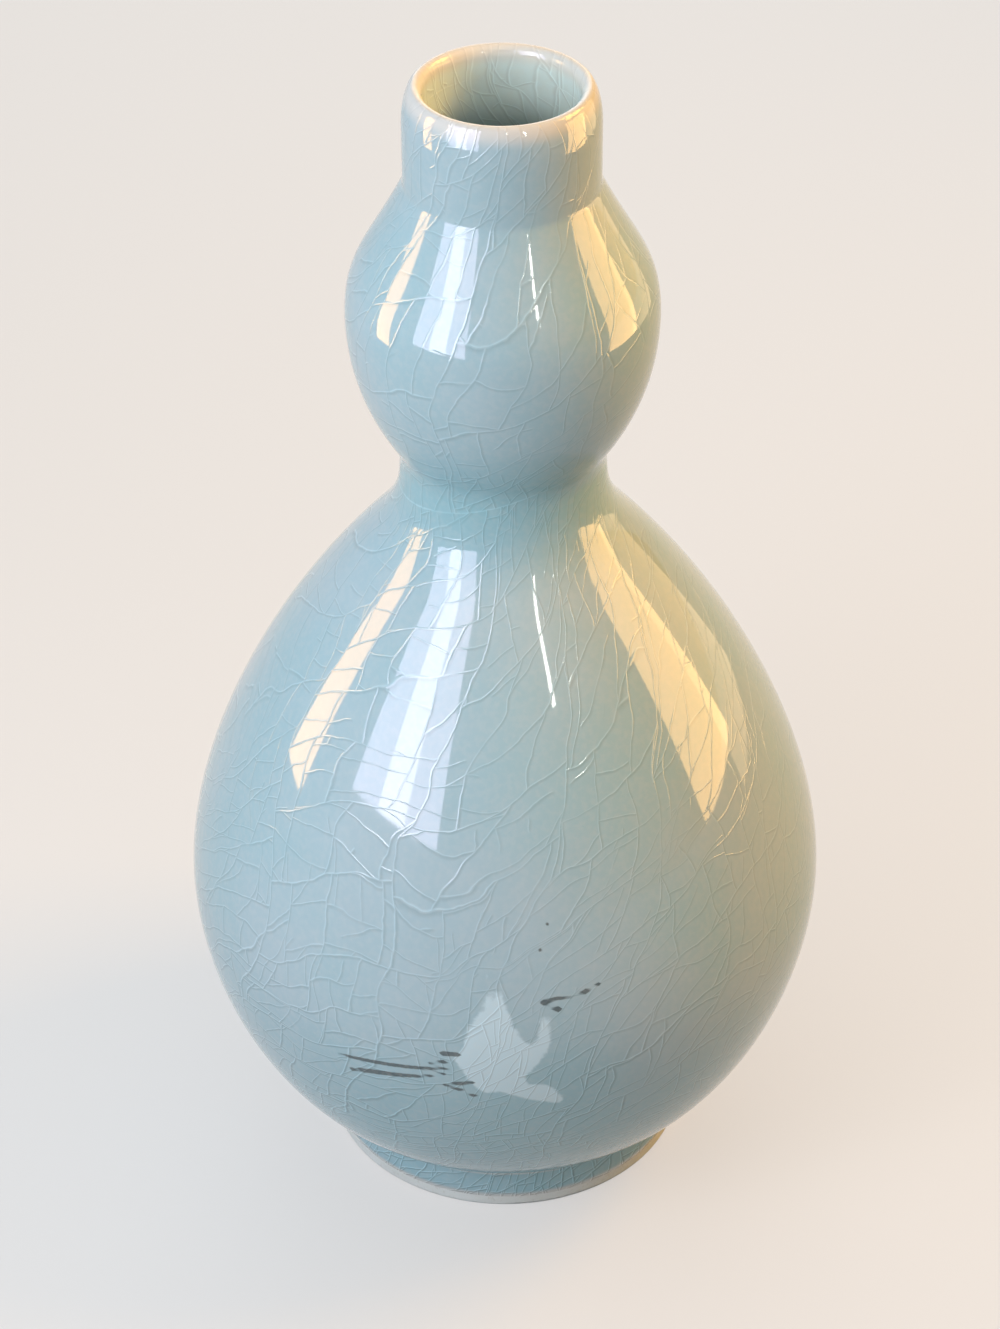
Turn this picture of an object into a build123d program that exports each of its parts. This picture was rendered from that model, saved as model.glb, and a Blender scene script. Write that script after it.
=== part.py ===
from build123d import *
import math
import os

# A double gourd vase of stoneware under a celadon glaze.
# It is thrown in three sections that are scored, luted together with slip and set on a foot ring.
# A flying crane is inlaid in white and black slip in the front of the lower bulb.
# All sizes are millimetres. The origin is the centre of the foot, on the ground. The crane faces -Y.

# Heights of the outside, each one counted from the one before it
belly_height = 53.7          # ground to the widest place of the lower bulb
waist_rise = 80.7            # belly to the top rim of the lower bulb
bulb_rise = 26.0             # bottom rim to the widest place of the upper bulb
crease_rise = 23.5           # widest place to the top rim of the upper bulb
collar_height = 14.9         # bottom rim of the neck collar to the crest of the lip
slip_thickness = 0.6         # each seam of luting slip

# Radii of the outside, over the glaze
foot_top_radius = 30.3
belly_radius = 53.0
waist_radius = 16.4
bulb_radius = 24.4
neck_radius = 15.1

# How far the outline leans away from upright, outwards, in degrees
foot_lean = 56.0
shoulder_lean = -40.6
bud_lean = 31.8
crease_lean = -26.0
lip_crest_lean = -90.0
lip_inner_lean = -180.0

# Where the two inflections lie, as shares of the rise in radius and in height between their neighbours
shoulder_radius_share = 0.182
shoulder_height_share = 0.812
bud_radius_share = 0.169
bud_height_share = 0.165

# Wall thickness with both glazes
base_wall = 4.7
lower_wall = 4.2
waist_wall = 3.9
upper_wall = 3.6
neck_wall = 3.25
floor_height = 10.6          # ground to the glazed floor inside, at its centre

# Glaze
glaze_thickness = 0.45
glaze_overlap = 5.0          # how far the outer glaze runs down inside the mouth
bare_rim_height = 2.0        # the foot is wiped clean of glaze up to here
glaze_taper = 1.2            # height over which the glaze thins out above the bare rim

# Foot ring
foot_rim_radius = 30.6
foot_ring_width = 5.4        # at the rim that it stands on
foot_seat_width = 4.65       # at its top, under the lower bulb
foot_round = 0.8             # run of the soft crease on each side
foot_edge_radius = 0.6
seat_height = 7.0            # ground to the top of the foot ring, where the slip begins
spigot_depth = 1.2           # how far the boss of the lower bulb drops inside the foot ring
spigot_film = 0.3            # slip round the boss

# Neck and lip
crease_round = 0.7           # run of the soft crease on each side
lip_drop = 6.3               # height of the outer rounding of the lip
lip_inner_drop = 1.8         # height of the inner rounding of the lip
lip_inner_round = 1.3        # width of the inner rounding of the lip

# Scored keys in the luted rims
key_width = 0.8
key_depth = 0.5
waist_keys = 2
neck_keys = 1
foot_keys = 3

# Crane inlay
crane_length = 42.0          # toes to the tip of the beak
crane_height = 56.0          # ground to the middle of the crane
inlay_depth = 0.7
stroke_width = 0.62          # widest place of a black stroke

overrun = 2.0                # how far a cutting shape stands out of what it cuts

# Levels and radii that follow from the sizes above
lower_rim_height = belly_height + waist_rise
upper_foot_height = lower_rim_height + slip_thickness
bulb_height = upper_foot_height + bulb_rise
upper_rim_height = bulb_height + crease_rise
collar_foot_height = upper_rim_height + slip_thickness
vase_height = collar_foot_height + collar_height
mouth_radius = neck_radius - neck_wall
crest_radius = mouth_radius + lip_inner_round
lobe_base_height = seat_height + slip_thickness
recess_height = lobe_base_height - spigot_depth

# A place of the outline: radius, height, lean in degrees, and wall thickness there
foot_neck = (foot_top_radius, lobe_base_height, 0, base_wall)
flare = (
    foot_top_radius + foot_round * math.sin(math.radians(foot_lean)),
    lobe_base_height + foot_round + foot_round * math.cos(math.radians(foot_lean)),
    foot_lean,
    base_wall,
)
belly = (belly_radius, belly_height, 0, lower_wall)
shoulder = (
    waist_radius + shoulder_radius_share * (belly_radius - waist_radius),
    belly_height + shoulder_height_share * waist_rise,
    shoulder_lean,
    lower_wall,
)
lower_rim = (waist_radius, lower_rim_height, 0, waist_wall)
upper_foot = (waist_radius, upper_foot_height, 0, waist_wall)
bud = (
    waist_radius + bud_radius_share * (bulb_radius - waist_radius),
    upper_foot_height + bud_height_share * bulb_rise,
    bud_lean,
    waist_wall,
)
bulb = (bulb_radius, bulb_height, 0, upper_wall)
crease = (
    neck_radius - crease_round * math.sin(math.radians(crease_lean)),
    upper_rim_height - crease_round - crease_round * math.cos(math.radians(crease_lean)),
    crease_lean,
    neck_wall,
)
upper_rim = (neck_radius, upper_rim_height, 0, neck_wall)
collar_foot = (neck_radius, collar_foot_height, 0, neck_wall)
lip_foot = (neck_radius, vase_height - lip_drop, 0, neck_wall)
lip_crest = (crest_radius, vase_height, lip_crest_lean, neck_wall)
lip_inner = (mouth_radius, vase_height - lip_inner_drop, lip_inner_lean, neck_wall)

# Each stretch of the outline is one smooth curve between two places.
# The lengths of its two handles are shares of the straight distance between the places.
lower_handle_shares = [(0.40, 0.40), (0.37, 0.28), (0.26, 0.37), (0.37, 0.45)]
upper_handle_shares = [(0.50, 0.44), (0.17, 0.48), (0.37, 0.56), (0.40, 0.40)]
lip_handle_shares = [(0.50, 0.16), (0.31, 0.45)]
floor_handle_shares = (0.55, 0.18)


def stretches(places, handle_shares):
    """Pair each place with the next one and with the handles between them."""
    return list(zip(places, places[1:], handle_shares))


lower_stretches = stretches([foot_neck, flare, belly, shoulder, lower_rim], lower_handle_shares)
upper_stretches = stretches([upper_foot, bud, bulb, crease, upper_rim], upper_handle_shares)
lip_stretches = stretches([lip_foot, lip_crest, lip_inner], lip_handle_shares)

# A layer of the wall: whether it lies on the inner side of the wall, and how much deeper it lies
glaze_outside = (0, 0)
clay_outside = (0, glaze_thickness)
clay_inside = (1, -glaze_thickness)
glaze_inside = (1, 0)
inlay_floor = (0, glaze_thickness + inlay_depth)


def spot(place, layer):
    """Where a place of the outline lies in a layer, square to the outline."""
    radius, height, lean, wall = place
    inner, extra = layer
    depth = inner * wall + extra
    angle = math.radians(lean)
    return (radius - depth * math.cos(angle), height + depth * math.sin(angle))


def draw_stretches(outline, layer):
    """Draw stretches of the outline in a layer of the wall."""
    for start, end, (start_share, end_share) in outline:
        low = spot(start, layer)
        high = spot(end, layer)
        chord = math.dist(low, high)
        start_angle = math.radians(start[2])
        end_angle = math.radians(end[2])
        low_handle = (
            low[0] + start_share * chord * math.sin(start_angle),
            low[1] + start_share * chord * math.cos(start_angle),
        )
        high_handle = (
            high[0] - end_share * chord * math.sin(end_angle),
            high[1] - end_share * chord * math.cos(end_angle),
        )
        Bezier(low, low_handle, high_handle, high)


def floor_centre(layer):
    """The floor's middle in a layer on the inner side of the wall."""
    return (0, floor_height + layer[1])


def draw_floor(layer):
    """Draw the floor inside the lower bulb, from its middle to the flare."""
    middle = floor_centre(layer)
    end = spot(flare, layer)
    chord = math.dist(middle, end)
    angle = math.radians(foot_lean)
    middle_share, end_share = floor_handle_shares
    middle_handle = (middle_share * chord, middle[1])
    end_handle = (
        end[0] - end_share * chord * math.sin(angle),
        end[1] - end_share * chord * math.cos(angle),
    )
    Bezier(middle, middle_handle, end_handle, end)


def score_keys(inner, outer, level, rise, count, mode):
    """Add or cut evenly spaced pointed keys on a rim between two radii. A negative rise points down."""
    pitch = (outer - inner) / (count + 1)
    for number in range(1, count + 1):
        middle = inner + number * pitch
        half = min(key_width, pitch) / 2
        with BuildLine() as key:
            Polyline(
                (middle - half, level),
                (middle, level + rise),
                (middle + half, level),
                close=True,
            )
        make_face(key.edges(), mode=mode)


def rim_radii(place):
    """Inner and outer radius of the clay at a luted rim."""
    return spot(place, clay_inside)[0], spot(place, clay_outside)[0]


waist_rim = rim_radii(lower_rim)
neck_rim = rim_radii(upper_rim)
seat_radius = spot(foot_neck, clay_outside)[0]
foot_rim = (foot_rim_radius - foot_ring_width, foot_rim_radius)
foot_seat = (seat_radius - foot_seat_width, seat_radius)


def foot_radii(height):
    """Inner and outer radius of the foot ring's clay at a height, from its rim up to its seat."""
    rise_share = height / seat_height
    return [low + rise_share * (high - low) for low, high in zip(foot_rim, foot_seat)]


def spigot_radius(height):
    """Radius of the boss at a height, inside the film of slip."""
    return foot_radii(height)[0] - spigot_film


# The foot ring stands on its bare, rounded rim
with BuildPart() as foot_ring:
    with BuildSketch(Plane.XZ) as foot_section:
        with BuildLine():
            Polyline(
                (foot_rim[0], 0),
                (foot_rim[1], 0),
                (foot_seat[1], seat_height),
                (foot_seat[0], seat_height),
                close=True,
            )
        make_face()
        rim_corners = foot_section.vertices().group_by(Axis.Y)[0]
        fillet(rim_corners, radius=foot_edge_radius)
        score_keys(*foot_seat, seat_height, -key_depth, foot_keys, Mode.SUBTRACT)
    revolve(axis=Axis.Z)
foot_ring.part.label = "foot_ring"

# Slip between the foot ring and the lower bulb, with a thin film round the boss
with BuildPart() as foot_luting_slip:
    with BuildSketch(Plane.XZ):
        with BuildLine():
            Polyline(
                (spigot_radius(recess_height), recess_height),
                (foot_radii(recess_height)[0], recess_height),
                (foot_seat[0], seat_height),
                (foot_seat[1], seat_height),
                (foot_seat[1], lobe_base_height),
                (spigot_radius(lobe_base_height), lobe_base_height),
                close=True,
            )
        make_face()
        score_keys(*foot_seat, seat_height, -key_depth, foot_keys, Mode.ADD)
        score_keys(*foot_seat, lobe_base_height, key_depth, foot_keys, Mode.ADD)
    revolve(axis=Axis.Z)
foot_luting_slip.part.label = "foot_luting_slip"


def bulb_within(layer):
    """The lower bulb within a layer of the wall, solid to its axis, from the flare to the shoulder."""
    low = spot(flare, layer)
    high = spot(shoulder, layer)
    with BuildPart() as bulb_core:
        with BuildSketch(Plane.XZ):
            with BuildLine():
                draw_stretches(lower_stretches[1:3], layer)
                Polyline(high, (0, high[1]), (0, low[1]), low)
            make_face()
        revolve(axis=Axis.Z)
    return bulb_core.part


# The crane is drawn on an upright plane in front of the vase.
# Its points are shares of its length, from its middle.
crane_plane = Plane(
    origin=(0, -belly_radius - 2 * overrun, crane_height),
    x_dir=(1, 0, 0),
    z_dir=(0, -1, 0),
)
clay_core = bulb_within(clay_outside)
pocket_core = bulb_within(inlay_floor)

# Each black stroke is a line of points, with its width at each of them as a share of the stroke width
upper_leg_shares = [(-0.644, -0.175, 0.7), (-0.523, -0.152, 1.0), (-0.330, -0.123, 0.9), (-0.196, -0.098, 0.5)]
lower_leg_shares = [(-0.599, -0.238, 1.1), (-0.485, -0.202, 1.4), (-0.330, -0.169, 0.9), (-0.196, -0.113, 0.5)]
upper_tail_shares = [(-0.262, -0.030, 0.5), (-0.222, -0.029, 1.7), (-0.170, -0.026, 0.4)]
middle_tail_shares = [(-0.294, -0.089, 0.4), (-0.258, -0.076, 1.2), (-0.215, -0.068, 0.5)]
lower_tail_shares = [(-0.240, -0.199, 0.5), (-0.180, -0.180, 1.2), (-0.120, -0.168, 0.6)]
under_tail_shares = [(-0.212, -0.224, 0.5), (-0.175, -0.213, 1.0), (-0.137, -0.201, 0.5)]
last_tail_shares = [(-0.143, -0.250, 0.5), (-0.115, -0.240, 1.1), (-0.084, -0.232, 0.5)]
crown_shares = [(0.128, 0.196, 0.6), (0.144, 0.213, 1.3), (0.171, 0.222, 1.2), (0.209, 0.223, 0.5)]
cheek_shares = [(0.162, 0.168, 0.5), (0.188, 0.175, 1.4), (0.220, 0.187, 0.5)]
beak_shares = [(0.250, 0.221, 0.5), (0.297, 0.235, 1.1), (0.324, 0.249, 1.2), (0.352, 0.258, 0.6)]
strokes = {
    "upper_leg_inlay": upper_leg_shares,
    "lower_leg_inlay": lower_leg_shares,
    "upper_tail_feather_inlay": upper_tail_shares,
    "middle_tail_feather_inlay": middle_tail_shares,
    "lower_tail_feather_inlay": lower_tail_shares,
    "under_tail_feather_inlay": under_tail_shares,
    "last_tail_feather_inlay": last_tail_shares,
    "crown_inlay": crown_shares,
    "cheek_inlay": cheek_shares,
    "beak_inlay": beak_shares,
}

# White shapes: the body with both wings and the neck, and the plume above the upper wing
body_shares = [
    (-0.195, -0.055),
    (-0.164, 0.008),
    (-0.137, 0.094),
    (-0.106, 0.172),
    (-0.080, 0.186),
    (-0.068, 0.258),
    (-0.023, 0.263),
    (-0.004, 0.188),
    (0.014, 0.160),
    (0.033, 0.099),
    (0.048, 0.062),
    (0.096, 0.018),
    (0.128, 0.060),
    (0.138, 0.135),
    (0.152, 0.162),
    (0.180, 0.158),
    (0.178, 0.110),
    (0.168, 0.050),
    (0.140, -0.036),
    (0.117, -0.071),
    (0.094, -0.099),
    (0.067, -0.140),
    (0.090, -0.180),
    (0.174, -0.191),
    (0.229, -0.311),
    (0.102, -0.272),
    (-0.025, -0.212),
    (-0.101, -0.228),
    (-0.139, -0.156),
    (-0.169, -0.104),
]
plume_shares = [(-0.068, 0.328), (-0.048, 0.306), (-0.030, 0.276), (-0.046, 0.272), (-0.056, 0.300)]


def crane_point(across_share, up_share):
    """A point of the crane on its plane."""
    return (across_share * crane_length, up_share * crane_length)


def draw_stroke(stroke_shares, mode):
    """Draw one brush stroke of black slip, which swells and thins along its line."""
    left_side = []
    right_side = []
    last = len(stroke_shares) - 1
    for number, (across_share, up_share, width_share) in enumerate(stroke_shares):
        before = stroke_shares[max(number - 1, 0)]
        after = stroke_shares[min(number + 1, last)]
        angle = math.atan2(after[1] - before[1], after[0] - before[0])
        half = width_share * stroke_width / 2
        x, y = crane_point(across_share, up_share)
        left_side.append((x - half * math.sin(angle), y + half * math.cos(angle)))
        right_side.append((x + half * math.sin(angle), y - half * math.cos(angle)))
    with BuildLine() as stroke:
        Spline(*left_side)
        Spline(*right_side)
        Line(left_side[0], right_side[0])
        Line(left_side[-1], right_side[-1])
    make_face(stroke.edges(), mode=mode)


def draw_white(outline_shares):
    """Draw a white shape, cut with a knife in straight strokes."""
    with BuildLine() as outline:
        Polyline(*[crane_point(*point) for point in outline_shares], close=True)
    make_face(outline.edges())


def pocket(sketch):
    """The room for a drawn shape in front of the inlay's floor, open to the front."""
    with BuildPart() as room:
        extrude(sketch, amount=-belly_radius)
        add(pocket_core, mode=Mode.SUBTRACT)
    return room.part


def inlay(name, room):
    """Slip that fills a pocket up to the outside of the clay."""
    with BuildPart() as piece:
        add(room)
        add(clay_core, mode=Mode.INTERSECT)
    piece.part.label = name
    return piece.part


sketches = {}
for name, stroke_shares in strokes.items():
    with BuildSketch(crane_plane) as stroke_sketch:
        draw_stroke(stroke_shares, Mode.ADD)
    sketches[name] = stroke_sketch.sketch
with BuildSketch(crane_plane) as body_sketch:
    draw_white(body_shares)
    for stroke_shares in strokes.values():
        draw_stroke(stroke_shares, Mode.SUBTRACT)
sketches["crane_body_inlay"] = body_sketch.sketch
with BuildSketch(crane_plane) as plume_sketch:
    draw_white(plume_shares)
sketches["plume_inlay"] = plume_sketch.sketch

inlays = {}
pockets = []
for name, sketch in sketches.items():
    room = pocket(sketch)
    pockets.append(room)
    inlays[name] = inlay(name, room)

# The lower bulb has a floor, a boss that drops into the foot ring, and a pocket for each inlay
with BuildPart() as lower_lobe:
    with BuildSketch(Plane.XZ):
        with BuildLine():
            draw_stretches(lower_stretches, clay_outside)
            Line(spot(lower_rim, clay_outside), spot(lower_rim, clay_inside))
            draw_stretches(lower_stretches[1:], clay_inside)
            draw_floor(clay_inside)
            Polyline(
                floor_centre(clay_inside),
                (0, recess_height),
                (spigot_radius(recess_height), recess_height),
                (spigot_radius(lobe_base_height), lobe_base_height),
                spot(foot_neck, clay_outside),
            )
        make_face()
        score_keys(*foot_seat, lobe_base_height, key_depth, foot_keys, Mode.SUBTRACT)
        score_keys(*waist_rim, lower_rim_height, -key_depth, waist_keys, Mode.SUBTRACT)
    revolve(axis=Axis.Z)
    for room in pockets:
        add(room, mode=Mode.SUBTRACT)
lower_lobe.part.label = "lower_lobe"


def luting_ring(inner, outer, level, count):
    """A ring of slip between two rims, with keys that fill the scoring above and below."""
    with BuildPart() as ring:
        with BuildSketch(Plane.XZ):
            with BuildLine():
                Polyline(
                    (inner, level),
                    (outer, level),
                    (outer, level + slip_thickness),
                    (inner, level + slip_thickness),
                    close=True,
                )
            make_face()
            score_keys(inner, outer, level, -key_depth, count, Mode.ADD)
            score_keys(inner, outer, level + slip_thickness, key_depth, count, Mode.ADD)
        revolve(axis=Axis.Z)
    return ring.part


waist_luting_slip = luting_ring(*waist_rim, lower_rim_height, waist_keys)
waist_luting_slip.label = "waist_luting_slip"
neck_luting_slip = luting_ring(*neck_rim, upper_rim_height, neck_keys)
neck_luting_slip.label = "neck_luting_slip"

# The upper bulb is open at both rims
with BuildPart() as upper_lobe:
    with BuildSketch(Plane.XZ):
        with BuildLine():
            draw_stretches(upper_stretches, clay_outside)
            Line(spot(upper_rim, clay_outside), spot(upper_rim, clay_inside))
            draw_stretches(upper_stretches, clay_inside)
            Line(spot(upper_foot, clay_outside), spot(upper_foot, clay_inside))
        make_face()
        score_keys(*waist_rim, upper_foot_height, key_depth, waist_keys, Mode.SUBTRACT)
        score_keys(*neck_rim, upper_rim_height, -key_depth, neck_keys, Mode.SUBTRACT)
    revolve(axis=Axis.Z)
upper_lobe.part.label = "upper_lobe"

# The neck collar ends in a lip that is rounded over to the inside
with BuildPart() as neck_collar:
    with BuildSketch(Plane.XZ):
        with BuildLine():
            Line(spot(collar_foot, clay_outside), spot(lip_foot, clay_outside))
            draw_stretches(lip_stretches, clay_outside)
            Polyline(
                spot(lip_inner, clay_outside),
                spot(collar_foot, clay_inside),
                spot(collar_foot, clay_outside),
            )
        make_face()
        score_keys(*neck_rim, collar_foot_height, key_depth, neck_keys, Mode.SUBTRACT)
    revolve(axis=Axis.Z)
neck_collar.part.label = "neck_collar"

# The outer glaze runs from above the bare rim of the foot, over the lip and a little way inside
overlap_height = vase_height - glaze_overlap
taper_height = bare_rim_height + glaze_taper
with BuildPart() as outer_glaze:
    with BuildSketch(Plane.XZ):
        with BuildLine():
            Polyline(
                spot(foot_neck, glaze_outside),
                (foot_radii(taper_height)[1] + glaze_thickness, taper_height),
                (foot_radii(bare_rim_height)[1], bare_rim_height),
                (seat_radius, seat_height),
                spot(foot_neck, clay_outside),
            )
            for layer in (glaze_outside, clay_outside):
                draw_stretches(lower_stretches + upper_stretches + lip_stretches, layer)
                Line(spot(lower_rim, layer), spot(upper_foot, layer))
                Line(spot(upper_rim, layer), spot(collar_foot, layer))
                Line(spot(collar_foot, layer), spot(lip_foot, layer))
            Polyline(
                spot(lip_inner, glaze_outside),
                (spot(lip_inner, glaze_outside)[0], overlap_height),
                (spot(lip_inner, clay_outside)[0], overlap_height),
                spot(lip_inner, clay_outside),
            )
        make_face()
    revolve(axis=Axis.Z)
outer_glaze.part.label = "outer_glaze"

# The inner glaze covers the floor and the walls, up to the end of the outer glaze inside the mouth
with BuildPart() as inner_glaze:
    with BuildSketch(Plane.XZ):
        with BuildLine():
            for layer in (glaze_inside, clay_inside):
                draw_floor(layer)
                draw_stretches(lower_stretches[1:] + upper_stretches, layer)
                Line(spot(lower_rim, layer), spot(upper_foot, layer))
                Line(spot(upper_rim, layer), (spot(upper_rim, layer)[0], overlap_height))
            Line(
                (spot(upper_rim, clay_inside)[0], overlap_height),
                (spot(upper_rim, glaze_inside)[0], overlap_height),
            )
            Line(floor_centre(glaze_inside), floor_centre(clay_inside))
        make_face()
    revolve(axis=Axis.Z)
inner_glaze.part.label = "inner_glaze"

# The base glaze lines the recess inside the foot ring, above its bare rim
lining_height = recess_height - glaze_thickness
with BuildPart() as base_glaze:
    with BuildSketch(Plane.XZ):
        with BuildLine():
            Polyline(
                (0, recess_height),
                (foot_radii(recess_height)[0], recess_height),
                (foot_radii(bare_rim_height)[0], bare_rim_height),
                (foot_radii(taper_height)[0] - glaze_thickness, taper_height),
                (foot_radii(lining_height)[0] - glaze_thickness, lining_height),
                (0, lining_height),
                close=True,
            )
        make_face()
    revolve(axis=Axis.Z)
base_glaze.part.label = "base_glaze"

os.makedirs("parts", exist_ok=True)
export_step(foot_ring.part, "parts/foot_ring.step")
export_step(foot_luting_slip.part, "parts/foot_luting_slip.step")
export_step(lower_lobe.part, "parts/lower_lobe.step")
export_step(waist_luting_slip, "parts/waist_luting_slip.step")
export_step(upper_lobe.part, "parts/upper_lobe.step")
export_step(neck_luting_slip, "parts/neck_luting_slip.step")
export_step(neck_collar.part, "parts/neck_collar.step")
export_step(outer_glaze.part, "parts/outer_glaze.step")
export_step(inner_glaze.part, "parts/inner_glaze.step")
export_step(base_glaze.part, "parts/base_glaze.step")
for name, piece in inlays.items():
    export_step(piece, f"parts/{name}.step")
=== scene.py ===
"""A double gourd vase of celadon stoneware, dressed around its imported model.

The glaze coats are spun from the outline of the vase. The clay, the slip seams and the inlaid crane are
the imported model's own pieces, and the glaze shows the crane where the inlay lies under it.
All sizes are metres. The origin is the centre of the foot, on the ground, and the crane faces -Y.
"""

import logging
import math
from dataclasses import dataclass, field
from enum import Enum

import bpy
import numpy as np
from mathutils import Matrix, Vector


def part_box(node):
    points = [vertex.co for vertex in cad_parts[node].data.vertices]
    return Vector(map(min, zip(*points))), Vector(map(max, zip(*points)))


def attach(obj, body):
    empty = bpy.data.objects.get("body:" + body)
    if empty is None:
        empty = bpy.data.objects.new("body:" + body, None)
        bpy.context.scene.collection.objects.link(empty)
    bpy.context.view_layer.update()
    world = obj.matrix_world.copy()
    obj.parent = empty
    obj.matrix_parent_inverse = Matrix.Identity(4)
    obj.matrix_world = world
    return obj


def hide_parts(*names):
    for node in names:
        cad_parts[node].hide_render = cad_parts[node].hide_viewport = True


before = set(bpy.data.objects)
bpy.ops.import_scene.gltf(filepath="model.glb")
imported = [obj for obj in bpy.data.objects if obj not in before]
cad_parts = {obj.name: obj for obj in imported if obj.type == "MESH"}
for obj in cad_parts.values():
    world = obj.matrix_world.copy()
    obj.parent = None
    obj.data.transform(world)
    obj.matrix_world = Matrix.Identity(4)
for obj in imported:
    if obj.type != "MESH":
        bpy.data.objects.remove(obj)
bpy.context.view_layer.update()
LOG = logging.getLogger("vase")
MM = 0.001
BODY = "root"
MERGE = 0.002 * MM
MOST_STEPS = 1024
HALVINGS = 40
SHARPEST = 50
SIDEWAYS = 0.2
LEAST_SQUARE = 1e-16

Point = tuple[float, float]
Bezier = tuple[Point, Point, Point, Point]
Point3 = tuple[float, float, float]
Colour = tuple[float, float, float]
Socket = bpy.types.NodeSocket
Lumps = tuple[float, float]  # size and detail of a soft noise
Bends = tuple[float, float]  # size and reach of a wandering


class Side(Enum):
    """Which side of the wall a layer belongs to."""

    OUTER = 0
    INNER = 1


class Lay(Enum):
    """How the crack network lies on a piece."""

    ROUND = "round the axis"
    FLAT = "on a level disc"


class Slip(Enum):
    """The two slips of the inlay, with the attribute that holds the distance to the edge of each."""

    WHITE = "white_edge"
    BLACK = "black_edge"


@dataclass(frozen=True)
class Place:
    """A place of the outline: radius, height, lean from upright, and thickness of the wall."""

    radius: float
    height: float
    lean: float
    wall: float

    def spot(self, side: Side, depth: float) -> Point:
        """Where the place lies in a layer, square to the outline.

        Args:
            side: side of the wall that the layer is counted from.
            depth: how far the layer lies towards the inside of the vase from that side.

        Returns:
            Radius and height.
        """
        inward = side.value * self.wall + depth
        angle = math.radians(self.lean)
        return (self.radius - inward * math.cos(angle), self.height + inward * math.sin(angle))


def span(start: Place, end: Place, shares: Point, side: Side, depth: float) -> Bezier:
    """One smooth stretch of the outline in a layer of the wall.

    Args:
        start: place that the stretch begins at.
        end: place that it ends at.
        shares: lengths of its two handles, as shares of the distance between the places.
        side: side of the wall that the layer is counted from.
        depth: how far the layer lies inwards from that side.

    Returns:
        The four control points.
    """
    low = start.spot(side, depth)
    high = end.spot(side, depth)
    chord = math.dist(low, high)
    low_angle = math.radians(start.lean)
    high_angle = math.radians(end.lean)
    low_reach = shares[0] * chord
    high_reach = shares[1] * chord
    low_handle = (low[0] + low_reach * math.sin(low_angle), low[1] + low_reach * math.cos(low_angle))
    high_handle = (high[0] - high_reach * math.sin(high_angle), high[1] - high_reach * math.cos(high_angle))
    return (low, low_handle, high_handle, high)


def straight(low: Point, high: Point) -> Bezier:
    """A straight stretch between two points."""
    return (low, between(low, high, 1 / 3), between(low, high, 2 / 3), high)


def between(a: Point, b: Point, share: float) -> Point:
    """The point at a share of the way from one point to another."""
    return (a[0] + share * (b[0] - a[0]), a[1] + share * (b[1] - a[1]))


def split(curve: Bezier, share: float) -> tuple[Bezier, Bezier]:
    """Cut a stretch in two.

    Args:
        curve: the stretch.
        share: where to cut it, as a share of its run.

    Returns:
        The lower and the upper part, which keep the shape of the whole.
    """
    a, b, c, d = curve
    ab, bc, cd = between(a, b, share), between(b, c, share), between(c, d, share)
    abc, bcd = between(ab, bc, share), between(bc, cd, share)
    middle = between(abc, bcd, share)
    return (a, ab, abc, middle), (middle, bcd, cd, d)


def share_at_height(curve: Bezier, height: float) -> float:
    """Find where a rising stretch reaches a height.

    Args:
        curve: the stretch.
        height: the height.

    Returns:
        The share of its run.
    """
    low, high = 0.0, 1.0
    for _ in range(HALVINGS):
        middle = (low + high) / 2
        if split(curve, middle)[0][3][1] < height:
            low = middle
        else:
            high = middle
    return low


def run_length(curve: Bezier) -> float:
    """Length of a stretch, a little under its control polygon's."""
    polygon = sum(math.dist(p, q) for p, q in zip(curve, curve[1:]))
    return (polygon + math.dist(curve[0], curve[3])) / 2


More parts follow.
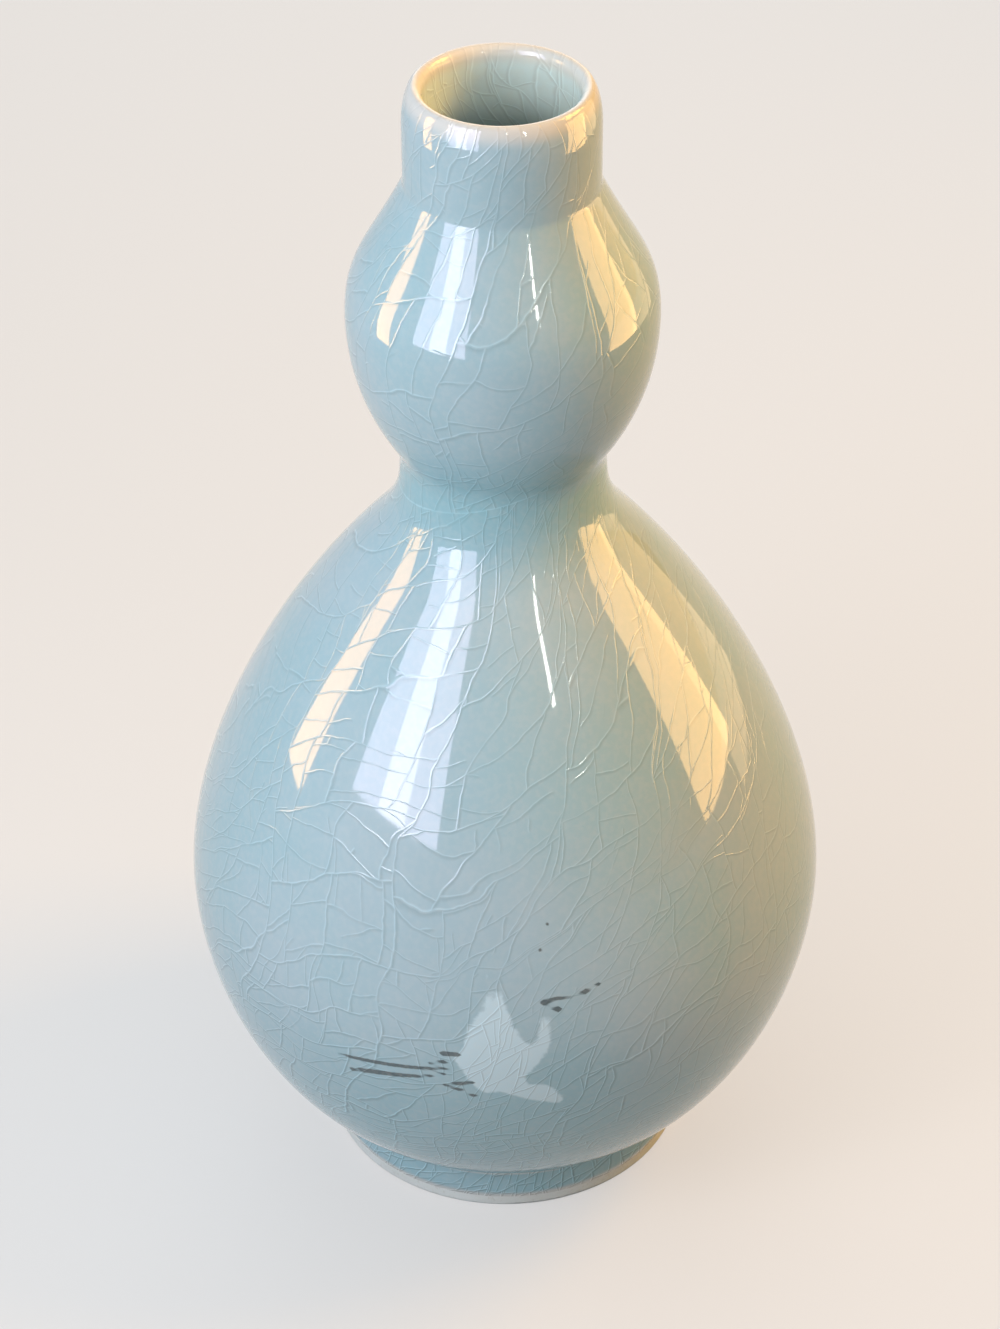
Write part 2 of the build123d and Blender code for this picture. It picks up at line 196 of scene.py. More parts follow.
@dataclass
class Outline:
    """The outline of the vase, over the glaze, with its wall."""

    belly_height: float = 53.7 * MM
    waist_rise: float = 80.7 * MM
    bulb_rise: float = 26.0 * MM
    crease_rise: float = 23.5 * MM
    collar_height: float = 14.9 * MM
    slip_thickness: float = 0.6 * MM
    foot_top_radius: float = 30.3 * MM
    belly_radius: float = 53.0 * MM
    waist_radius: float = 16.4 * MM
    bulb_radius: float = 24.4 * MM
    neck_radius: float = 15.1 * MM
    foot_lean: float = 56.0
    shoulder_lean: float = -40.6
    bud_lean: float = 31.8
    crease_lean: float = -26.0
    lip_crest_lean: float = -90.0
    lip_inner_lean: float = -180.0
    shoulder_radius_share: float = 0.182
    shoulder_height_share: float = 0.812
    bud_radius_share: float = 0.169
    bud_height_share: float = 0.165
    base_wall: float = 4.7 * MM
    lower_wall: float = 4.2 * MM
    waist_wall: float = 3.9 * MM
    upper_wall: float = 3.6 * MM
    neck_wall: float = 3.25 * MM
    floor_height: float = 10.6 * MM
    foot_round: float = 0.8 * MM
    crease_round: float = 0.7 * MM
    lip_drop: float = 6.3 * MM
    lip_inner_drop: float = 1.8 * MM
    lip_inner_round: float = 1.3 * MM
    seat_height: float = 7.0 * MM
    spigot_depth: float = 1.2 * MM
    foot_rim_radius: float = 30.6 * MM
    foot_ring_width: float = 5.4 * MM
    floor_handles: Point = (0.55, 0.18)
    foot_crease_handles: Point = (0.40, 0.40)
    lip_handles: tuple[Point, Point] = ((0.50, 0.16), (0.31, 0.45))
    body_handles: tuple[Point, ...] = (
        (0.37, 0.28),
        (0.26, 0.37),
        (0.37, 0.45),
        (0.33, 0.33),
        (0.50, 0.44),
        (0.17, 0.48),
        (0.37, 0.56),
        (0.40, 0.40),
    )

    def __post_init__(self) -> None:
        """Work out the places from the sizes."""
        self.lower_rim_height = self.belly_height + self.waist_rise
        self.upper_foot_height = self.lower_rim_height + self.slip_thickness
        self.bulb_height = self.upper_foot_height + self.bulb_rise
        self.upper_rim_height = self.bulb_height + self.crease_rise
        self.collar_foot_height = self.upper_rim_height + self.slip_thickness
        self.vase_height = self.collar_foot_height + self.collar_height
        self.mouth_radius = self.neck_radius - self.neck_wall
        self.lobe_base_height = self.seat_height + self.slip_thickness
        self.recess_height = self.lobe_base_height - self.spigot_depth
        self.recess_radius = self.foot_rim_radius - self.foot_ring_width
        foot_angle = math.radians(self.foot_lean)
        crease_angle = math.radians(self.crease_lean)
        self.foot_neck = Place(self.foot_top_radius, self.lobe_base_height, 0, self.base_wall)
        self.flare = Place(
            self.foot_top_radius + self.foot_round * math.sin(foot_angle),
            self.lobe_base_height + self.foot_round * (1 + math.cos(foot_angle)),
            self.foot_lean,
            self.base_wall,
        )
        self.belly = Place(self.belly_radius, self.belly_height, 0, self.lower_wall)
        self.shoulder = Place(
            self.waist_radius + self.shoulder_radius_share * (self.belly_radius - self.waist_radius),
            self.belly_height + self.shoulder_height_share * self.waist_rise,
            self.shoulder_lean,
            self.lower_wall,
        )
        self.lower_rim = Place(self.waist_radius, self.lower_rim_height, 0, self.waist_wall)
        self.upper_foot = Place(self.waist_radius, self.upper_foot_height, 0, self.waist_wall)
        self.bud = Place(
            self.waist_radius + self.bud_radius_share * (self.bulb_radius - self.waist_radius),
            self.upper_foot_height + self.bud_height_share * self.bulb_rise,
            self.bud_lean,
            self.waist_wall,
        )
        self.bulb = Place(self.bulb_radius, self.bulb_height, 0, self.upper_wall)
        self.crease = Place(
            self.neck_radius - self.crease_round * math.sin(crease_angle),
            self.upper_rim_height - self.crease_round * (1 + math.cos(crease_angle)),
            self.crease_lean,
            self.neck_wall,
        )
        self.upper_rim = Place(self.neck_radius, self.upper_rim_height, 0, self.neck_wall)
        self.lip_foot = Place(self.neck_radius, self.vase_height - self.lip_drop, 0, self.neck_wall)
        self.lip_crest = Place(
            self.mouth_radius + self.lip_inner_round, self.vase_height, self.lip_crest_lean, self.neck_wall
        )
        self.lip_inner = Place(
            self.mouth_radius, self.vase_height - self.lip_inner_drop, self.lip_inner_lean, self.neck_wall
        )

    def body(self, side: Side, depth: float) -> list[Bezier]:
        """The stretches from the flare over the foot up to the foot of the neck.

        Args:
            side: side of the wall that the layer is counted from.
            depth: how far the layer lies inwards from that side.

        Returns:
            The stretches, from the foot up.
        """
        places = (
            self.flare,
            self.belly,
            self.shoulder,
            self.lower_rim,
            self.upper_foot,
            self.bud,
            self.bulb,
            self.crease,
            self.upper_rim,
        )
        chain = zip(places, places[1:], self.body_handles)
        return [span(start, end, shares, side, depth) for start, end, shares in chain]

    def foot_crease(self, depth: float) -> Bezier:
        """The soft crease between the foot and the lower bulb, in a layer of the outside."""
        return span(self.foot_neck, self.flare, self.foot_crease_handles, Side.OUTER, depth)

    def neck(self, depth: float) -> Bezier:
        """The straight outside of the neck, in a layer."""
        return straight(self.upper_rim.spot(Side.OUTER, depth), self.lip_foot.spot(Side.OUTER, depth))

    def lip(self, depth: float) -> list[Bezier]:
        """The rounding of the lip from the outside over to the inside, in a layer."""
        over, in_and_down = self.lip_handles
        return [
            span(self.lip_foot, self.lip_crest, over, Side.OUTER, depth),
            span(self.lip_crest, self.lip_inner, in_and_down, Side.OUTER, depth),
        ]

    def floor(self, depth: float) -> Bezier:
        """The floor inside the lower bulb, from its middle to the flare.

        Args:
            depth: how far the layer lies towards the inside of the vase from the wall.

        Returns:
            The stretch.
        """
        middle = (0.0, self.floor_height + depth)
        end = self.flare.spot(Side.INNER, depth)
        chord = math.dist(middle, end)
        angle = math.radians(self.foot_lean)
        reach = self.floor_handles[1] * chord
        middle_handle = (self.floor_handles[0] * chord, middle[1])
        end_handle = (end[0] - reach * math.sin(angle), end[1] - reach * math.cos(angle))
        return (middle, middle_handle, end_handle, end)

    def foot_radius(self, height: float, depth: float) -> float:
        """Radius of the foot ring's outside at a height, in a layer under the glaze's outside."""
        seat_radius = self.foot_top_radius - depth
        return self.foot_rim_radius + (seat_radius - self.foot_rim_radius) * height / self.seat_height


@dataclass(frozen=True)
class Fade:
    """A number that goes softly from start to end while a value goes from low to high."""

    low: float
    high: float
    start: float = 0.0
    end: float = 1.0


class Graph:
    """A short way to write nodes: each call adds a node and gives back its output."""

    def __init__(self, owner: bpy.types.ID) -> None:
        """Start an empty node tree.

        Args:
            owner: the material or the world that the nodes are for.
        """
        owner.use_nodes = True
        self.owner = owner
        self.nodes = owner.node_tree.nodes
        self.links = owner.node_tree.links
        self.nodes.clear()

    def put(self, socket: Socket, value: object) -> None:
        """Fill one socket.

        Args:
            socket: the socket.
            value: an output to link, or a number, vector or colour to set.
        """
        if isinstance(value, bpy.types.NodeSocket):
            self.links.new(value, socket)
        elif isinstance(value, tuple) and socket.type == "RGBA":
            socket.default_value = (*value, 1.0)
        else:
            socket.default_value = value

    def add(self, kind: str, sockets: dict, **settings: object) -> bpy.types.Node:
        """Add a node.

        Args:
            kind: Blender's name of the node's type.
            sockets: what fills its sockets, by their names or numbers.
            **settings: the node's own settings, which are made first.

        Returns:
            The node.
        """
        node = self.nodes.new(kind)
        for name, setting in settings.items():
            setattr(node, name, setting)
        for key, value in sockets.items():
            self.put(node.inputs[key], value)
        return node

    def place(self) -> Socket:
        """Object coordinates, in metres."""
        return self.add("ShaderNodeTexCoord", {}).outputs["Object"]

    def attribute(self, name: str) -> Socket:
        """A number that each point of the mesh holds."""
        return self.add("ShaderNodeAttribute", {}, attribute_name=name).outputs["Fac"]

    def math(self, operation: str, *values: object) -> Socket:
        """A Math node on up to three numbers."""
        return self.add("ShaderNodeMath", dict(enumerate(values)), operation=operation).outputs[0]

    def length(self, x: object, y: object) -> Socket:
        """Length of a line that goes x one way and y square to it."""
        return self.math("SQRT", self.math("MULTIPLY_ADD", x, x, self.math("MULTIPLY", y, y)))

    def vector(self, operation: str, first: object, second: object) -> Socket:
        """A Vector Math node on two vectors."""
        return self.add("ShaderNodeVectorMath", {0: first, 1: second}, operation=operation).outputs["Vector"]

    def times(self, vector: object, factor: object) -> Socket:
        """A vector times a number."""
        node = self.add("ShaderNodeVectorMath", {0: vector, "Scale": factor}, operation="SCALE")
        return node.outputs["Vector"]

    def parts(self, vector: object) -> tuple[Socket, ...]:
        """The three parts of a vector."""
        return tuple(self.add("ShaderNodeSeparateXYZ", {0: vector}).outputs)

    def ramp(self, value: object, low: object, high: object, start: float = 0.0, end: float = 1.0) -> Socket:
        """A number that goes softly from start to end while the value goes from low to high."""
        sockets = {"Value": value, "From Min": low, "From Max": high, "To Min": start, "To Max": end}
        return self.add("ShaderNodeMapRange", sockets, interpolation_type="SMOOTHSTEP").outputs["Result"]

    def fade(self, value: object, fade: Fade) -> Socket:
        """A number that follows a fade."""
        return self.ramp(value, fade.low, fade.high, fade.start, fade.end)

    def blend(self, share: object, first: object, second: object) -> Socket:
        """A colour between two colours.

        Args:
            share: 0 for the first colour, 1 for the second.
            first: a colour, or the output that gives it.
            second: the same.

        Returns:
            The output of the colour.
        """
        node = self.add("ShaderNodeMix", {"Factor": share}, data_type="RGBA")
        colours = [socket for socket in node.inputs if socket.type == "RGBA"]
        for socket, colour in zip(colours, (first, second)):
            self.put(socket, colour)
        return [socket for socket in node.outputs if socket.type == "RGBA"][0]

    def soft_noise(self, where: object, lumps: Lumps) -> bpy.types.Node:
        """A noise with soft lumps."""
        sockets = {"Vector": where, "Scale": 1 / lumps[0], "Detail": lumps[1]}
        return self.add("ShaderNodeTexNoise", sockets)

    def noise(self, where: object, lumps: Lumps) -> Socket:
        """A soft noise as one number from 0 to 1."""
        return self.soft_noise(where, lumps).outputs["Fac"]

    def sway(self, where: object, bends: Bends) -> Socket:
        """A vector that wanders by up to about the reach of the bends."""
        wander = self.soft_noise(where, (bends[0], 1.0)).outputs["Color"]
        return self.times(self.vector("SUBTRACT", wander, (0.5, 0.5, 0.5)), 2 * bends[1])

    def cells(self, steps: object, feature: str, jitter: float) -> bpy.types.Node:
        """Random cells of length one along a line."""
        sockets = {"W": steps, "Scale": 1.0, "Randomness": jitter}
        return self.add("ShaderNodeTexVoronoi", sockets, feature=feature, voronoi_dimensions="1D")

    def bump(self, height: object, depth: float, **sockets: object) -> Socket:
        """A normal bent by a height of one times that depth in metres."""
        sockets = {"Strength": 1.0, "Distance": depth, "Height": height, **sockets}
        return self.add("ShaderNodeBump", sockets).outputs["Normal"]

    def surface(self, sockets: dict) -> bpy.types.Material:
        """Close the material with one Principled shader.

        Args:
            sockets: what fills the shader's sockets, by name.

        Returns:
            The finished material.
        """
        shader = self.add("ShaderNodeBsdfPrincipled", sockets)
        self.add("ShaderNodeOutputMaterial", {"Surface": shader.outputs["BSDF"]})
        return self.owner


@dataclass(frozen=True)
class CrackFamily:
    """Cracks that run side by side, each family stopped by the ones before it."""

    spacing: float
    lean: float
    turn: float
    strength: float
    presence: float


@dataclass(frozen=True)
class Sheet:
    """The glazed surface laid flat: its two coordinates, how far each was stretched, and its own edges."""

    across: Socket
    up: Socket
    stretch: object
    rise: object
    edge: object


@dataclass(frozen=True)
class Crackle:
    """The network of fine cracks in the glaze, each with a painted shadow along one side."""

    lower_unroll: float = 44 * MM
    waist_unroll: float = 24 * MM
    upper_unroll: float = 22 * MM
    neck_unroll: float = 30 * MM
    shoulder_zone: tuple[float, float] = (70 * MM, 130 * MM)
    neck_zone: tuple[float, float] = (160 * MM, 180 * MM)
    least_radius: float = 8 * MM
    foot_zone: float = 34 * MM
    foot_zone_end: Fade = Fade(30.6 * MM, 37.4 * MM, 1.7, 1.0)
    seam_height: float = 136.4 * MM
    seam_slope: float = 0.314
    seam_sway: float = 0.1
    seam_shift: float = 310 * MM
    seam_line: Fade = Fade(0.0, 0.259 * MM, 0.9, 0.0)
    join: Fade = Fade(1.5, math.pi, 0.0, 1.1)
    join_lumps: Lumps = (38 * MM, 1.0)
    line_width: float = 0.37 * MM
    # Width of the painted shadow beside each crack.
    painted_shadow_width: float = 0.45 * MM
    long_bends: Bends = (46 * MM, 15 * MM)
    short_bends: Bends = (10 * MM, 1.7 * MM)
    tremble: Bends = (2.4 * MM, 0.22 * MM)
    first_seed: float = 0.37
    seed_steps: float = 91.7
    jitter: float = 0.85
    patch_lumps: Lumps = (9 * MM, 0.0)
    patch_edge: float = 0.03
    patch_share: float = 0.9
    families: tuple[CrackFamily, ...] = (
        CrackFamily(20 * MM, -12, 0, 1.0, 1.0),
        CrackFamily(8.0 * MM, -62, 30, 1.0, 1.0),
        CrackFamily(6.0 * MM, -8, 44, 0.95, 1.0),
        CrackFamily(5.2 * MM, -72, 50, 0.85, 0.95),
        CrackFamily(3.8 * MM, -20, 70, 0.75, 0.60),
    )

    def sheet(self, graph: Graph, lay: Lay) -> Sheet:
        """Lay the surface flat, so that the cracks follow it.

        Args:
            graph: the material that is being written.
            lay: how the piece lies.

        Returns:
            The flat sheet.
        """
        where = graph.place()
        sway = graph.vector("ADD", graph.sway(where, self.short_bends), graph.sway(where, self.tremble))
        sway = graph.vector("ADD", graph.sway(where, self.long_bends), sway)
        sway_x, sway_y, _ = graph.parts(sway)
        x, y, z = graph.parts(where)
        if lay is Lay.FLAT:
            return Sheet(graph.math("ADD", x, sway_x), graph.math("ADD", y, sway_y), 1.0, 1.0, 0.0)
        radius = graph.math("MAXIMUM", graph.length(x, y), self.least_radius)
        seam = graph.math("MULTIPLY_ADD", x, self.seam_slope, self.seam_height)
        past_seam = graph.math("SUBTRACT", graph.math("MULTIPLY_ADD", sway_y, self.seam_sway, z), seam)
        above = graph.math("GREATER_THAN", past_seam, 0.0)
        unroll = graph.ramp(z, *self.shoulder_zone, self.lower_unroll, self.waist_unroll)
        upper = graph.ramp(z, *self.neck_zone, self.upper_unroll, self.neck_unroll)
        unroll = graph.math("MULTIPLY_ADD", above, graph.math("SUBTRACT", upper, unroll), unroll)
        turn = graph.math("ARCTAN2", x, graph.math("MULTIPLY", y, -1.0))
        turn = graph.math("ADD", turn, graph.math("DIVIDE", sway_x, radius))
        behind = graph.fade(graph.math("ABSOLUTE", turn), self.join)
        drift = graph.math("SUBTRACT", graph.noise(where, self.join_lumps), 0.5)
        turn = graph.math("MULTIPLY_ADD", behind, drift, turn)
        whole = graph.math("WRAP", turn, math.pi, -math.pi)
        around = graph.math("MULTIPLY", whole, unroll)
        up = graph.math("ADD", graph.math("ADD", z, graph.math("MINIMUM", z, self.foot_zone)), sway_y)
        from_join = graph.math("SUBTRACT", math.pi, graph.math("ABSOLUTE", whole))
        from_join = graph.math("MULTIPLY", from_join, radius)
        near = graph.math("MINIMUM", from_join, graph.math("ABSOLUTE", past_seam))
        across = graph.math("MULTIPLY_ADD", above, self.seam_shift, around)
        stretch = graph.math("DIVIDE", unroll, radius)
        rise = graph.fade(z, self.foot_zone_end)
        return Sheet(across, up, stretch, rise, graph.fade(near, self.seam_line))

    def shown(self, graph: Graph, family: CrackFamily, flat: Socket, density: Socket) -> object:
        """How strongly a family shows at each point.

        Args:
            graph: the material that is being written.
            family: the family of cracks.
            flat: the place on the flat sheet.
            density: how many of the fine cracks show, where 1 or more is all of them.

        Returns:
            A number, or the output that gives it.
        """
        if family.presence == 1:
            return family.strength
        missing = family.presence - self.patch_share
        keep = graph.math("MULTIPLY_ADD", density, self.patch_share, missing)
        patches = graph.noise(flat, self.patch_lumps)
        share = graph.ramp(patches, graph.math("SUBTRACT", keep, self.patch_edge), keep, 1.0, 0.0)
        return graph.math("MULTIPLY", share, family.strength)

    def lines(self, graph: Graph, lay: Lay, density: Socket) -> tuple[Socket, Socket]:
        """How strongly a crack and the painted shadow beside it show at each point, from 0 to 1.

        Args:
            graph: the material that is being written.
            lay: how the piece lies.
            density: how many of the fine cracks show, where 1 or more is all of them.

        Returns:
            The output of the cracks and the output of the painted shadow beside them.
        """
        sheet = self.sheet(graph, lay)
        flat = graph.add("ShaderNodeCombineXYZ", {"X": sheet.across, "Y": sheet.up}).outputs[0]
        crack: object = sheet.edge
        painted_shadow: object = 0.0
        seed: object = self.first_seed
        painted_shadow_start = self.line_width / 4
        for number, family in enumerate(self.families):
            first_angle = math.radians(family.lean - family.turn / 2)
            angle = graph.math("MULTIPLY_ADD", seed, math.radians(family.turn), first_angle)
            cosine = graph.math("COSINE", angle)
            sine = graph.math("SINE", angle)
            along = graph.math("MULTIPLY", sheet.across, cosine)
            along = graph.math("ADD", along, graph.math("MULTIPLY", sheet.up, sine))
            start = graph.math("MULTIPLY", seed, self.seed_steps)
            steps = graph.math("MULTIPLY_ADD", along, 1 / family.spacing, start)
            plate = graph.cells(steps, "F1", self.jitter)
            edge = graph.cells(steps, "DISTANCE_TO_EDGE", self.jitter).outputs["Distance"]
            pull = graph.math("MULTIPLY", cosine, sheet.stretch)
            pull = graph.length(pull, graph.math("MULTIPLY", sine, sheet.rise))
            gap = graph.math("DIVIDE", graph.math("MULTIPLY", edge, family.spacing), pull)
            shown = self.shown(graph, family, flat, density)
            line = graph.ramp(gap, 0.0, self.line_width * family.strength / 2, 1.0, 0.0)
            crack = graph.math("MAXIMUM", crack, graph.math("MULTIPLY", line, shown))
            # Painted shadow: a darker band along one side of each crack, as under light from the other side.
            shadow_side = graph.math("LESS_THAN", graph.math("SUBTRACT", steps, plate.outputs["W"]), 0.0)
            shadow_band = graph.ramp(gap, painted_shadow_start, painted_shadow_start + self.painted_shadow_width, 1.0, 0.0)
            shadow_band = graph.math("MULTIPLY", graph.math("MULTIPLY", shadow_band, shadow_side), shown)
            painted_shadow = graph.math("MAXIMUM", painted_shadow, shadow_band)
            seed = graph.parts(plate.outputs["Color"])[number % 3]
        return crack, painted_shadow


@dataclass(frozen=True)
class SlipShow:
    """How one slip of the inlay shows through the glaze."""

    slip: Slip
    tint: Colour
    soft: float
    strength: float
    ragged: float


@dataclass(frozen=True)
class Spot:
    """A point of the glaze: its place, its heights, and how cloudy the glaze is there."""

    where: Socket
    height: Socket
    from_waist: Socket
    from_lip: Socket
    cloud: Socket


@dataclass(frozen=True)
class Celadon:
    """The glossy glaze: its colours, where it runs thin or pools, and its cracks, with painted shade and
    light in the mouth, a painted highlight above the foot and a painted shadow beside each crack.
    """

    name: str = "celadon_glaze"
    body: Colour = (0.410, 0.528, 0.600)
    pooled: Colour = (0.210, 0.470, 0.550)
    thin: Colour = (0.740, 0.700, 0.670)
    # Painted light: a pale colour on the glaze just inside the mouth, standing in for light that falls into
    # it.
    painted_lining_light: Colour = (0.790, 0.960, 1.000)
    # Painted shade: a dark colour deeper in the neck, standing in for the shade inside it.
    painted_throat_shade: Colour = (0.090, 0.160, 0.190)
    gloss: float = 0.05
    refraction: float = 1.5
    cloud_lumps: Lumps = (30 * MM, 3.0)
    clouds: Fade = Fade(0.3, 0.7, 0.0, 0.35)
    foot_pool: Fade = Fade(14 * MM, 60 * MM, 0.62, 0.0)
    foot_limit: Fade = Fade(7 * MM, 9 * MM, 0.38, 0.62)
    waist_pool: Fade = Fade(0.0, 16 * MM, 0.55, 0.0)
    inside: Fade = Fade(1.5 * MM, 0.5 * MM, 0.0, 0.9)
    near_mouth: Fade = Fade(-16 * MM, -7 * MM)
    in_neck: float = 0.9
    lip: Fade = Fade(-3.4 * MM, -0.8 * MM, 0.0, 0.85)
    rim: Fade = Fade(2.2 * MM, 3.6 * MM, 0.8, 0.0)
    # A pale line along the crease above the foot: thin glaze with a painted highlight.
    crease_line_height: float = 7.3 * MM
    crease_highlight: Fade = Fade(0.0, 0.45 * MM, 0.6, 0.0)
    patchy: Fade = Fade(0.2, 0.6, 0.7, 1.0)
    slips: tuple[SlipShow, ...] = (
        SlipShow(Slip.WHITE, (0.680, 0.830, 0.920), 0.28 * MM, 0.70, 0.7 * MM),
        SlipShow(Slip.BLACK, (0.055, 0.080, 0.090), 0.12 * MM, 0.88, 0.16 * MM),
    )
    slip_bleed: float = 0.08 * MM
    fray_lumps: Lumps = (0.8 * MM, 2.0)
    speck: Colour = (0.050, 0.050, 0.045)
    specks: tuple[Point3, ...] = ((6.5 * MM, -47.5 * MM, 77.8 * MM), (5.4 * MM, -49.0 * MM, 73.8 * MM))
    speck_bends: Bends = (0.7 * MM, 0.25 * MM)
    speck_edge: Fade = Fade(0.1 * MM, 0.42 * MM, 0.85, 0.0)
    grain_lumps: Lumps = (1.1 * MM, 2.0)
    grain: Fade = Fade(0.35, 0.75, 0.0, 0.10)
    belly_density: Fade = Fade(44 * MM, 105 * MM, 1.35, 0.60)
    waist_density: Fade = Fade(6 * MM, 20 * MM, 1.0, 0.0)
    wear_lumps: Lumps = (8 * MM, 1.0)
    wear: Fade = Fade(0.30, 0.52, 0.55, 1.0)
    low_cracks: Fade = Fade(22 * MM, 74 * MM, 2.5, 1.0)
    neck_cracks: Fade = Fade(168 * MM, 186 * MM, 1.0, 0.85)
    lip_cracks: float = -0.6
    crack_lift: float = 0.22
    # How much the painted shadow beside each crack darkens the glaze.
    painted_shadow_dip: float = -0.17
    crack_height: float = 0.022 * MM
    ripple_lumps: Lumps = (13 * MM, 1.0)
    ripple_height: float = 0.014 * MM

    def pools(self, graph: Graph, spot: Spot) -> Socket:
        """Write the glaze's colour, deeper in clouds, towards the foot and in the waist.

        Args:
            graph: the material that is being written.
            spot: the point of the glaze.

        Returns:
            The output of the colour.
        """
        colour = graph.blend(graph.fade(spot.cloud, self.clouds), self.body, self.pooled)
        low = graph.fade(spot.height, self.foot_pool)
        low = graph.math("MINIMUM", low, graph.fade(spot.height, self.foot_limit))
        waist = graph.fade(spot.from_waist, self.waist_pool)
        return graph.blend(graph.math("MAXIMUM", low, waist), colour, self.pooled)

    def mouth_shade_and_light(self, graph: Graph, spot: Spot, outline: Outline, colour: Socket) -> Socket:
        """Paint shade deep inside the neck and paint light on the glaze just inside the mouth.

        Args:
            graph: the material that is being written.
            spot: the point of the glaze.
            outline: the vase's outline, for the place of its neck.
            colour: the colour so far.

        Returns:
            The output of the colour.
        """
        x, y, _ = graph.parts(spot.where)
        inside = graph.fade(graph.math("SUBTRACT", graph.length(x, y), outline.mouth_radius), self.inside)
        neck = Fade(outline.bulb_height, outline.collar_foot_height, 0.0, self.in_neck)
        # Painted shade deep in the neck.
        throat_shade = graph.math("MULTIPLY", inside, graph.fade(spot.height, neck))
        # Painted light just inside the mouth.
        lining_light = graph.math("MULTIPLY", inside, graph.fade(spot.from_lip, self.near_mouth))
        return graph.blend(lining_light, graph.blend(throat_shade, colour, self.painted_throat_shade), self.painted_lining_light)

    def thin_glaze_and_crease_highlight(self, graph: Graph, spot: Spot, lip: Socket, colour: Socket) -> Socket:
        """Write the thin glaze on the lip and over the bare rim, and a pale line along the crease above the
        foot, which is thin glaze with a painted highlight.

        Args:
            graph: the material that is being written.
            spot: the point of the glaze.
            lip: how near the lip it is, from 0 to 1.
            colour: the colour so far.

        Returns:
            The output of the colour.
        """
        # Painted highlight with thin glaze along the crease above the foot.
        from_crease_line = graph.math("ABSOLUTE", graph.math("SUBTRACT", spot.height, self.crease_line_height))
        low = graph.math("MAXIMUM", graph.fade(spot.height, self.rim), graph.fade(from_crease_line, self.crease_highlight))
        share = graph.math("MULTIPLY", graph.math("MAXIMUM", lip, low), graph.fade(spot.cloud, self.patchy))
        return graph.blend(share, colour, self.thin)

    def picture(self, graph: Graph, where: Socket, colour: Socket) -> Socket:
        """Write the inlaid slips and the iron specks, as they show through the glaze.

        Args:
            graph: the material that is being written.
            where: the place of the point.
            colour: the colour so far.

        Returns:
            The output of the colour.
        """
        for show in self.slips:
            fray = graph.math("SUBTRACT", graph.noise(where, self.fray_lumps), 0.5)
            edge = graph.math("SUBTRACT", graph.attribute(show.slip.value), self.slip_bleed)
            edge = graph.math("ADD", edge, graph.math("MULTIPLY", fray, show.ragged))
            share = graph.ramp(edge, -show.soft, show.soft, show.strength, 0.0)
            colour = graph.blend(share, colour, show.tint)
        for speck in self.specks:
            frayed = graph.vector("ADD", where, graph.sway(where, self.speck_bends))
            away = graph.add("ShaderNodeVectorMath", {0: frayed, 1: speck}, operation="DISTANCE")
            colour = graph.blend(graph.fade(away.outputs["Value"], self.speck_edge), colour, self.speck)
        return colour

    def material(self, outline: Outline, crackle: Crackle, lay: Lay, inlaid: bool) -> bpy.types.Material:
        """Write the glaze's material.

        Args:
            outline: the vase's outline, for the heights at which the glaze pools.
            crackle: the crack network.
            lay: how the piece lies.
            inlaid: whether the piece holds the distances to the inlay's edges.

        Returns:
            The material.
        """
        graph = Graph(bpy.data.materials.new(self.name))
        where = graph.place()
        height = graph.parts(where)[2]
        from_waist = graph.math("ABSOLUTE", graph.math("SUBTRACT", height, outline.lower_rim_height))
        from_lip = graph.math("SUBTRACT", height, outline.vase_height)
        spot = Spot(where, height, from_waist, from_lip, graph.noise(where, self.cloud_lumps))
        colour = self.pools(graph, spot)
        strength = graph.fade(height, self.low_cracks)
        strength = graph.math("MULTIPLY", strength, graph.fade(height, self.neck_cracks))
        if lay is Lay.ROUND:
            lip = graph.fade(from_lip, self.lip)
            colour = self.thin_glaze_and_crease_highlight(graph, spot, lip, self.mouth_shade_and_light(graph, spot, outline, colour))
            strength = graph.math("MULTIPLY_ADD", lip, self.lip_cracks, strength)
        if inlaid:
            colour = self.picture(graph, where, colour)
        grain = graph.fade(graph.noise(where, self.grain_lumps), self.grain)
        colour = graph.blend(grain, colour, self.thin)
        density = graph.fade(height, self.belly_density)
        density = graph.math("MAXIMUM", density, graph.fade(from_waist, self.waist_density))
        wear = graph.fade(graph.noise(where, self.wear_lumps), self.wear)
        # Pale crack lines lighten the colour, and the painted shadow beside them darkens it.
        cracks, painted_shadows = (graph.math("MULTIPLY", line, wear) for line in crackle.lines(graph, lay, density))
        painted_shadows = graph.math("MULTIPLY", painted_shadows, self.painted_shadow_dip)
        light = graph.math("MULTIPLY_ADD", cracks, self.crack_lift, painted_shadows)
        colour = graph.times(colour, graph.math("MULTIPLY_ADD", light, strength, 1.0))
        ripple = graph.bump(graph.noise(where, self.ripple_lumps), self.ripple_height)
        normal = graph.bump(cracks, self.crack_height, Normal=ripple)
        sockets = {"Base Color": colour, "Roughness": self.gloss, "Normal": normal, "IOR": self.refraction}
        return graph.surface(sockets)


